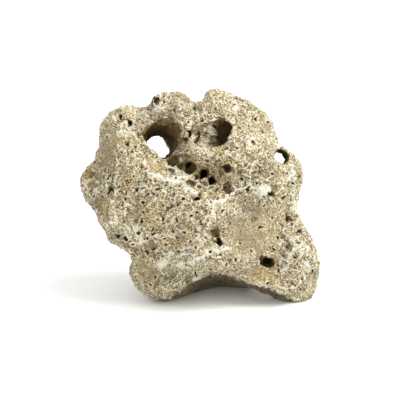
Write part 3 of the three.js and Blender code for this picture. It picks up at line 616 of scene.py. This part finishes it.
# Pits of one size: each cell of a scattered grid may hold one round pit
def makePitLayer():
    inputs = {"Place": None, "Cell Size": 0.006, "Share": 0.5, "Least Radius": 0.2, "Most Radius": 0.45,
              "Seed": 0.0}
    t, given, result = newGroup("pitLayer", "GeometryNodeTree", inputs, ("Pit", "Rim"))
    moved = t.vector("ADD", given["Place"], given["Seed"])
    away, present = t.spots(
        moved, given["Cell Size"], given["Share"], given["Least Radius"], given["Most Radius"])
    fromRim = t.absolute(t.minus(away, 1.2))
    t.put(t.times(t.remap(away, 0.35, 1.05, 1.0, 0.0), present), result["Pit"])
    t.put(t.times(t.remap(fromRim, 0.0, 0.3, 1.0, 0.0), present), result["Rim"])
    return t.tree


# Weathering: lumps, shallow cells with thin walls, pits of three sizes, crust on the ledges and grain
weathering = {
    "Lump Height": 1.8 * mm, "Lump Size": 16 * mm,
    "Knurl Height": 1.7 * mm, "Knurl Size": 6.4 * mm,
    "Ridge Height": 0.8 * mm, "Ridge Size": 13 * mm,
    "Cell Depth": 0.9 * mm, "Cell Size": 5.6 * mm,
    "Hollow Depth": 1.3 * mm, "Hollow Size": 15 * mm,
    "Pit Depth": 2.0 * mm, "Pit Size": 7.0 * mm,
    "Pore Depth": 1.1 * mm, "Pore Size": 3.6 * mm,
    "Crust Height": 0.8 * mm, "Crust Size": 2.6 * mm,
    "Grain Height": 0.5 * mm, "Grain Size": 2.4 * mm,
    "Warp": 3.0 * mm, "Warp Size": 7 * mm,
    "Wear": 0.7 * mm,
    # how far the rays look for stone that shuts off the sky, for the painted shade
    "Shade Ray Reach": 40 * mm,
    "Seed": 0.37,
}

# What is built into the weathering's tree
weatherMake = {
    "busyPatches": 26 * mm, "coarsePatches": 22 * mm, "crustPatches": 24 * mm,
    "coarseShift": (2.2, 2.2, 2.2), "crustShift": (4.4, 4.4, 4.4),  # so that their noises differ
    "crustRise": 0.9 * mm, "pitRimRise": 0.25 * mm, "rimRise": 0.6 * mm,
    "ground": (0.3 * mm, 3.5 * mm),  # heights between which the weathering sets in
    "hollowNear": (6, 0.5 * mm), "hollowFar": (80, 2.5 * mm),  # blurring steps, and depth of a hollow
    "skyRays": 14, "skyBlur": 7, "rayStart": 0.4 * mm,
}


def makeWeathering(pitLayer, material):
    t, g, result = newGroup(
        "weatheringOfStone", "GeometryNodeTree", {"Geometry": None, **weathering}, ("Geometry",))
    t.tree.is_modifier = True
    times, plus, minus, most, remap = t.times, t.plus, t.minus, t.most, t.remap
    make = weatherMake

    def mark(name):
        return t.add("GeometryNodeInputNamedAttribute", {"Name": name}, data_type="FLOAT").outputs[0]

    def store(geometry, name, value):
        inputs = {"Geometry": geometry, "Name": name, "Value": value}
        return t.add("GeometryNodeStoreNamedAttribute", inputs, data_type="FLOAT", domain="POINT").outputs[0]

    place = t.add("GeometryNodeInputPosition").outputs[0]
    normal = t.add("GeometryNodeInputNormal").outputs[0]
    seeded = t.vector("ADD", place, g["Seed"])
    warped = t.warped(seeded, g["Warp Size"], times(g["Warp"], 2.0))

    # the upward part of a place or a direction
    def heightOf(vector):
        return t.add("ShaderNodeSeparateXYZ", {0: vector}).outputs[2]

    def pits(size, share, radii, seed):
        inputs = {"Place": warped, "Cell Size": g[size], "Share": share, "Least Radius": radii[0],
                  "Most Radius": radii[1], "Seed": seed}
        return t.add("GeometryNodeGroup", inputs, node_tree=pitLayer).outputs

    # where the surface is calm, busy or made of shallow cells
    lively = remap(mark("calmHint"), 0.15, 0.8, 1.0, 0.15)
    region = remap(t.noise(seeded, make["busyPatches"], 1.0), -0.5, 0.5, 0.5, 1.0)
    busy = times(lively, region)
    coarsePlace = t.vector("ADD", seeded, make["coarseShift"])
    coarseWild = remap(t.noise(coarsePlace, make["coarsePatches"], 1.0), -0.1, 0.6)
    coarse = times(most(times(coarseWild, 0.8), mark("coarseHint")), lively)

    lumps = t.noise(seeded, g["Lump Size"], 3.0, 0.55)
    knurls = t.noise(warped, g["Knurl Size"], 3.0, 0.6)
    grain = t.noise(seeded, g["Grain Size"], 2.0, 0.65)
    walls = remap(t.edges(warped, g["Cell Size"]), 0.0, 0.2, 1.0, 0.0)
    thread = t.absolute(t.noise(warped, g["Ridge Size"], 2.0, 0.5))
    ridge = times(remap(thread, 0.0, 0.11, 1.0, 0.0), remap(lumps, -0.1, 0.4), lively)
    ridge = most(times(ridge, 0.55), mark("ridgeHint"))
    hollows = pits("Hollow Size", share=0.75, radii=(0.25, 0.5), seed=3.1)
    pitsMedium = pits("Pit Size", share=times(busy, 0.36), radii=(0.1, 0.25), seed=7.7)
    pores = pits("Pore Size", share=times(busy, 0.42), radii=(0.15, 0.31), seed=12.9)
    poresMore = pits("Pore Size", share=times(busy, 0.4), radii=(0.14, 0.3), seed=19.3)

    # white crust, on ledges that the photograph shows and on others that face up
    crustNoise = t.noise(seeded, g["Crust Size"], 3.0, 0.65)
    upness = remap(heightOf(normal), -0.2, 0.9)
    crustPlace = t.vector("ADD", seeded, make["crustShift"])
    crustWild = remap(t.noise(crustPlace, make["crustPatches"], 2.0), 0.1, 0.7)
    crustWish = most(mark("crustHint"), times(crustWild, plus(0.3, times(upness, 0.5))))
    crust = remap(plus(times(crustWish, 1.35), crustNoise), 0.8, 1.35)

    fine = plus(times(knurls, 0.8), times(grain, 0.3), times(minus(walls, 0.35), coarse, 1.1))
    rise = plus(
        times(lumps, g["Lump Height"]),
        times(knurls, lively, g["Knurl Height"]),
        times(grain, lively, g["Grain Height"]),
        times(minus(walls, 0.5), coarse, g["Cell Depth"]),
        times(ridge, g["Ridge Height"]),
        times(crust, g["Crust Height"]),
        times(mark("crustHint"), make["crustRise"]),
        times(pitsMedium["Rim"], make["pitRimRise"]),
        times(mark("rimHint"), make["rimRise"]))
    rise = minus(
        rise,
        times(hollows["Pit"], g["Hollow Depth"]),
        times(pitsMedium["Pit"], g["Pit Depth"]),
        times(pores["Pit"], g["Pore Depth"]),
        times(poresMore["Pit"], g["Pore Depth"]),
        mark("carve"),
        g["Wear"])
    rise = times(rise, remap(heightOf(place), *make["ground"]))  # the feet stay on the ground

    geometry = g["Geometry"]
    marks = {
        "pit": most(pitsMedium["Pit"], pores["Pit"], poresMore["Pit"], mark("pitHint")),
        "crust": crust,
        "fine": fine,
        "ridge": ridge,
        "dust": crustWish,
        "rim": most(times(most(pitsMedium["Rim"], pores["Rim"]), 0.5), mark("rimHint")),
    }
    for name, value in marks.items():
        geometry = store(geometry, name, value)
    offset = t.vector("SCALE", normal, scale=rise)
    geometry = t.add("GeometryNodeSetPosition", {"Geometry": geometry, "Offset": offset}).outputs[0]

    # a value or a place, blurred along the surface
    def blurred(value, steps, kind):
        blur = t.add("GeometryNodeBlurAttribute", {"Iterations": steps}, data_type=kind)
        t.put(value, [s for s in blur.inputs if s.type == value.type and s.enabled][0])
        return [s for s in blur.outputs if s.type == value.type and s.enabled][0]

    # how far the surface lies below its blurred self, near and far
    for name in ("hollowNear", "hollowFar"):
        steps, span = make[name]
        below = t.vector("SUBTRACT", blurred(place, steps, "FLOAT_VECTOR"), place)
        below = t.vector("DOT_PRODUCT", below, normal)
        geometry = store(geometry, name, t.over(below, span))

    # how much of the sky round each point is shut off by the stone itself, for the painted shade
    total, shut = 0.0, 0.0
    start = t.vector("ADD", place, t.vector("SCALE", normal, scale=make["rayStart"]))
    for i in range(make["skyRays"]):
        z = 1 - 2 * (i + 0.5) / make["skyRays"]
        turn = math.pi * (1 + math.sqrt(5)) * i
        across = math.sqrt(1 - z * z)
        way = (across * math.cos(turn), across * math.sin(turn), z)
        weight = most(t.vector("DOT_PRODUCT", normal, way), 0.0)
        cast = t.add("GeometryNodeRaycast", {"Target Geometry": geometry, "Source Position": start,
                                             "Ray Direction": way, "Ray Length": g["Shade Ray Reach"]})
        total = plus(total, weight)
        shut = plus(shut, times(weight, cast.outputs["Is Hit"]))
    geometry = store(geometry, "shut", blurred(t.over(shut, total), make["skyBlur"], "FLOAT"))
    geometry = t.add("GeometryNodeRealizeInstances", {"Geometry": geometry}).outputs[0]
    geometry = t.add("GeometryNodeSetMaterial", {"Geometry": geometry, "Material": material}).outputs[0]
    t.put(geometry, result["Geometry"])
    return t.tree


# Colours of the stone, as linear values
stoneColours = {
    "recess": (0.11, 0.08, 0.04),
    "beigeDark": (0.285, 0.224, 0.125),
    "beige": (0.455, 0.372, 0.218),
    "pale": (0.665, 0.58, 0.365),
    "cream": (0.91, 0.845, 0.625),
    "greyTint": (0.88, 0.90, 0.95),
    "ochreTint": (1.06, 0.95, 0.70),
    # painted shade tints; the dim one also darkens stone that is darker
    "dimShadeTint": (0.60, 0.575, 0.53),
    "recessShadeTint": (0.66, 0.61, 0.55),
    # dirt with painted shade, painted shade deep in the holes, painted shade under the arch, and black
    # painted shade in the pits
    "dirtAndShadeBrown": (0.248, 0.170, 0.074),
    "deep": (0.238, 0.148, 0.040),
    "underShade": (0.205, 0.165, 0.105),
    "pitShadeBlack": (0.024, 0.016, 0.010),
    "speck": (0.045, 0.032, 0.017),
    "chalk": (0.88, 0.845, 0.73),
}

# How the colours lie on the stone
stoneLook = {
    "roughness": 0.92,
    "sheen": 0.2,  # specular level
    "sizes": {"Grain Size": 1.25 * mm, "Speck Size": 4.0 * mm, "Dot Size": 2.2 * mm},
    "bump": 0.9, "bumpHeight": 0.6 * mm,
    "crumbWalls": 3.0 * mm, "crumbWarp": 1.6 * mm,
    "crumbShare": 0.9, "wallShare": 0.5,
    "broad": 22 * mm, "rough": 9 * mm, "blotch": 5 * mm, "flecks": 1.7 * mm,  # sizes of patches
    "fineShare": 0.46, "blotchShare": 0.36, "broadShare": 0.25,
    "tones": [  # where in the tone each colour comes in
        ("beigeDark", -1.1, -0.35), ("beige", -0.5, 0.05), ("pale", 0.0, 0.5), ("cream", 0.42, 0.9)],
}


# Dark specks: round spots on some cells of a scattered grid
def makeSpeckGroup():
    t, given, result = newGroup(
        "stoneSpecks", "ShaderNodeTree", {"Place": None, "Size": 0.002, "Share": 0.5}, ("Speck",))
    away, present = t.spots(given["Place"], given["Size"], given["Share"], 0.15, 0.38)
    t.put(t.times(t.remap(away, 0.75, 1.15, 1.0, 0.0), present), result["Speck"])
    return t.tree


# Fine grain: a tone and a height from crumbs, thin pale walls and dark specks of two sizes
def makeGrainGroup(speckGroup):
    inputs = {"Place": None, "Grain Size": 0.001, "Speck Size": 0.004, "Dot Size": 0.002, "Dot Share": 0.5}
    t, given, result = newGroup("stoneGrain", "ShaderNodeTree", inputs, ("Tone", "Speck", "Height"))
    look = stoneLook
    crumbs = t.noise(given["Place"], given["Grain Size"], 2.0, 0.7)
    crumbs = t.remap(crumbs, -0.35, 0.35, -1.0, 1.0)
    warped = t.warped(given["Place"], look["crumbWalls"], look["crumbWarp"])
    walls = t.remap(t.edges(warped, look["crumbWalls"]), 0.0, 0.12, 1.0, 0.0)

    def specks(size, share):
        inputs = {"Place": warped, "Size": given[size], "Share": share}
        return t.add("ShaderNodeGroup", inputs, node_tree=speckGroup).outputs["Speck"]

    speck = t.most(specks("Speck Size", 0.3), t.times(specks("Dot Size", given["Dot Share"]), 0.85))
    tone = t.plus(t.times(crumbs, look["crumbShare"]), t.times(walls, look["wallShare"]))
    tone = t.minus(tone, 0.06)
    t.put(tone, result["Tone"])
    t.put(speck, result["Speck"])
    t.put(t.minus(tone, speck), result["Height"])
    return t.tree


# Dirt and painted shade: brown dirt in pits and hollows, painted shade deep in the holes where the stone
# shuts off the sky, and black painted shade in the pits; none where light falls in
dirtAndShadeMarks = {
    "Near": "hollowNear", "Far": "hollowFar", "Shut": "shut",
    "Pit": "pit", "Cell": "cellHint", "Lit": "litHint",
}


def makeDirtAndShadeGroup():
    t, given, result = newGroup(
        "stoneDirtAndShade", "ShaderNodeTree", dict.fromkeys(dirtAndShadeMarks, 0.0), ("Dirt And Shade", "Deep Shade", "Pit Shade"))
    near = t.remap(given["Near"], 0.2, 1.1, 0.0, 0.7)
    far = t.remap(given["Far"], 0.25, 1.6, 0.0, 0.45)
    unlit = t.minus(1.0, given["Lit"])
    shut = t.times(t.remap(given["Shut"], 0.44, 0.68, 0.0, 0.9), unlit)
    # painted shade deep in the holes, where the stone shuts off the sky
    deep = t.times(t.remap(given["Shut"], 0.6, 0.88, 0.0, 0.95), unlit)
    cell = t.times(given["Cell"], t.remap(given["Shut"], 0.2, 0.55, 0.6, 1.0))
    pit = t.remap(given["Pit"], 0.2, 0.8, 0.0, 0.8)
    t.put(t.most(t.times(t.most(near, far), unlit), pit, shut, cell), result["Dirt And Shade"])
    t.put(deep, result["Deep Shade"])
    # black painted shade in the pits
    t.put(t.remap(given["Pit"], 0.45, 0.75, 0.0, 0.93), result["Pit Shade"])
    return t.tree


def makeStoneMaterial():
    material = bpy.data.materials.new("limestone")
    material.use_nodes = True
    t = Tree(material.node_tree)
    times, plus, most, remap = t.times, t.plus, t.most, t.remap
    colour = {key: (*value, 1.0) for key, value in stoneColours.items()}
    look = stoneLook
    place = t.add("ShaderNodeTexCoord").outputs["Object"]

    def mark(name):
        return t.add("ShaderNodeAttribute", attribute_name=name, attribute_type="GEOMETRY").outputs["Fac"]

    dotShare = remap(mark("dotHint"), 0.0, 0.7, 0.08, 0.6)
    grain = t.add("ShaderNodeGroup", {"Place": place, "Dot Share": dotShare, **look["sizes"]},
                  node_tree=makeGrainGroup(makeSpeckGroup())).outputs
    dirtAndShade = t.add("ShaderNodeGroup", {socket: mark(name) for socket, name in dirtAndShadeMarks.items()},
                 node_tree=makeDirtAndShadeGroup()).outputs

    # the tone of the bare stone, and its colour
    broad = t.noise(place, look["broad"], 3.0, 0.6)
    blotch = t.noise(place, look["blotch"], 4.0, 0.65)
    rough = remap(t.noise(place, look["rough"], 2.0), -0.5, 0.5, 0.4, 1.1)
    lively = remap(mark("calmHint"), 0.1, 0.8, 1.0, 0.5)
    tone = plus(times(grain["Tone"], rough), times(mark("fine"), look["fineShare"]))
    tone = plus(tone, times(blotch, look["blotchShare"]))
    tone = plus(times(tone, lively), times(broad, look["broadShare"]))
    base = colour["recess"]
    for name, low, high in look["tones"]:
        base = t.mix(remap(tone, low, high), base, colour[name])

    # tints over it: the dim patches are darker stone and painted shade, the dents and gullies painted shade
    tints = (
        (times(mark("greyHint"), 0.8), "greyTint"),
        (times(mark("ochreHint"), remap(blotch, -0.6, 0.4, 0.3, 1.0)), "ochreTint"),
        (mark("dimShadeHint"), "dimShadeTint"),
        (mark("dentShadeHint"), "recessShadeTint"),
        (mark("gullyShadeHint"), "recessShadeTint"))
    for share, name in tints:
        base = t.mix(share, base, colour[name], "MULTIPLY")

    # coats on top, from the pale edges to the dirt, the painted shade and the specks
    ridge = remap(mark("hollowNear"), -0.2, -1.0, 0.0, 0.6)
    thread = remap(plus(mark("ridge"), times(blotch, 0.3)), 0.3, 0.85, 0.0, 0.9)
    rim = remap(plus(mark("rim"), times(blotch, 0.4)), 0.4, 0.95, 0.0, 0.55)
    flecks = times(t.noise(place, look["flecks"], 2.0, 0.65), 0.95)
    dust = t.calc("MINIMUM", mark("dust"), 1.0)
    thinner = remap(tone, -0.6, 0.8, 1.0, 0.76)
    coats = (
        (most(ridge, thread, rim), "cream"),
        (remap(mark("dust"), 0.2, 1.0, 0.0, 0.4), "cream"),
        (remap(plus(dust, flecks), 0.62, 0.88, 0.0, 0.95), "chalk"),
        # dirt with painted shade, then painted deep shade in the holes
        (times(dirtAndShade["Dirt And Shade"], thinner), "dirtAndShadeBrown"),
        (times(dirtAndShade["Deep Shade"], thinner), "deep"),
        # painted shade under the front's lower edge, over the arch
        (times(mark("underShadeHint"), 0.9), "underShade"),
        (dirtAndShade["Pit Shade"], "pitShadeBlack"),
        (times(grain["Speck"], 0.85, lively), "speck"))
    for share, name in coats:
        base = t.mix(share, base, colour[name])

    bump = t.add("ShaderNodeBump", {
        "Strength": look["bump"], "Distance": look["bumpHeight"], "Height": grain["Height"]})
    shader = t.tree.nodes["Principled BSDF"].inputs
    t.put(base, shader["Base Color"])
    t.put(bump.outputs["Normal"], shader["Normal"])
    t.put(look["roughness"], shader["Roughness"])
    t.put(look["sheen"], shader["Specular IOR Level"])
    return material


def triangleCount():
    return sum(len(p.vertices) - 2 for p in skin.data.polygons)


# Fewer triangles, taken mostly where the photograph doesn't look
def thinOut():
    triangles = triangleCount()
    facing = vectorsOf(skin.data.vertex_normals, "vector")
    front = np.clip(0.7 - 1.2 * (facing @ np.array(forward)), 0, 1)
    group = skin.vertex_groups.new(name="mayThin")
    steps = skinMake["shareSteps"]
    weight = np.round((1 - skinMake["frontShare"] * front) * steps).astype(int)
    for step in range(1, steps + 1):
        group.add(np.flatnonzero(weight == step).tolist(), step / steps, "REPLACE")
    thin = skin.modifiers.new("thinOut", "DECIMATE")
    thin.vertex_group = group.name
    thin.vertex_group_factor = skinMake["shareForce"]
    thin.ratio = min(1.0, skinMake["finalTriangles"] / triangles)
    applied(skin)
    skin.vertex_groups.clear()
    print(f"thinned from {triangles} to {triangleCount()} triangles")


def weatherSkin():
    material = makeStoneMaterial()
    tree = makeWeathering(makePitLayer(), material)
    modifier = skin.modifiers.new("weathering", "NODES")
    modifier.node_group = tree
    for item in tree.interface.items_tree:
        if item.in_out == "INPUT" and item.name in weathering:
            modifier[item.identifier] = weathering[item.name]
    applied(skin)
    print("weathered")
    thinOut()
    skin.data.materials.clear()
    skin.data.materials.append(material)
    skin.data.polygons.foreach_set("use_smooth", [True] * len(skin.data.polygons))


weatherSkin()
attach(skin, "root")
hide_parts("limestone")


# Studio: a plain pale floor and soft light, strongest from above
studio = {
    "floorSide": 12,
    "floorColour": (0.93, 0.93, 0.925), "floorRoughness": 0.85,
    "skyHigh": 1.15, "skyLow": 0.45,
    "keyPower": 22, "keySide": 0.9, "keyPlace": (0.85, -0.25, 1.2),
    "fillPower": 6, "fillSide": 1.2, "fillPlace": (-0.4, -1.4, 0.6),
}


def areaLight(name, power, side, place):
    data = bpy.data.lights.new(name, "AREA")
    data.energy = power
    data.size = side
    light = newObject(name, data)
    light.location = place
    light.rotation_euler = (photoView["stoneMiddle"] - light.location).to_track_quat("-Z", "Y").to_euler()


def makeSky():
    world = bpy.data.worlds.new("softSky")
    world.use_nodes = True
    t = Tree(world.node_tree)
    way = t.add("ShaderNodeTexCoord").outputs["Generated"]
    height = t.add("ShaderNodeSeparateXYZ", {0: way}).outputs[2]
    background = t.tree.nodes["Background"].inputs
    t.put((1, 1, 1, 1), background["Color"])
    t.put(t.remap(height, 0.0, 0.6, studio["skyLow"], studio["skyHigh"]), background["Strength"])
    bpy.context.scene.world = world


def makeStudio():
    mesh = bpy.data.meshes.new("floor")
    half = studio["floorSide"] / 2
    corners = [(-half, -half, 0), (half, -half, 0), (half, half, 0), (-half, half, 0)]
    mesh.from_pydata(corners, [], [(0, 1, 2, 3)])
    floor = newObject("floor", mesh)
    material = bpy.data.materials.new("paleFloor")
    material.use_nodes = True
    shader = material.node_tree.nodes["Principled BSDF"]
    shader.inputs["Base Color"].default_value = (*studio["floorColour"], 1.0)
    shader.inputs["Roughness"].default_value = studio["floorRoughness"]
    mesh.materials.append(material)
    areaLight("key", studio["keyPower"], studio["keySide"], studio["keyPlace"])
    areaLight("fill", studio["fillPower"], studio["fillSide"], studio["fillPlace"])
    makeSky()
    bpy.context.scene.view_settings.view_transform = "Standard"
    print("studio made")


makeStudio()
